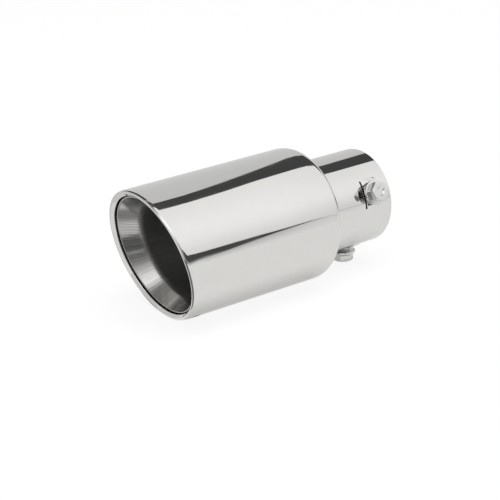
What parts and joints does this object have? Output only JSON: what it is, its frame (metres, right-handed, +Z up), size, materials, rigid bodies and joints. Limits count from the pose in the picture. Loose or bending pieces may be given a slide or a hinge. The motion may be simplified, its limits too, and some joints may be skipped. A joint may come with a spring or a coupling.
{
  "type": "exhaust tip",
  "caption": "Slash-cut double-walled exhaust tip with a rolled lip, a round inlet neck that slides over the tailpipe, and clamp screws on raised pads.",
  "frame": {"origin": "centre of the inlet neck's end face, on the tube axis", "axes": "+X along the tube axis from the mouth towards the inlet end, +Z up, with the longer side of the slanted mouth near +Z"},
  "size_m": [0.1885, 0.0888, 0.0888],
  "materials": {
    "polished_stainless": "mirror-polished stainless steel",
    "brushed_stainless": "satin, brushed along the tube",
    "plated_steel": "zinc-plated, semi-bright"
  },
  "bodies": {
    "root": {"outer_sleeve": "polished_stainless", "neck_tube": "polished_stainless", "inner_liner": "brushed_stainless", "clamp_screws": "plated_steel", "screw_washers": "plated_steel"}
  },
  "joints": []
}
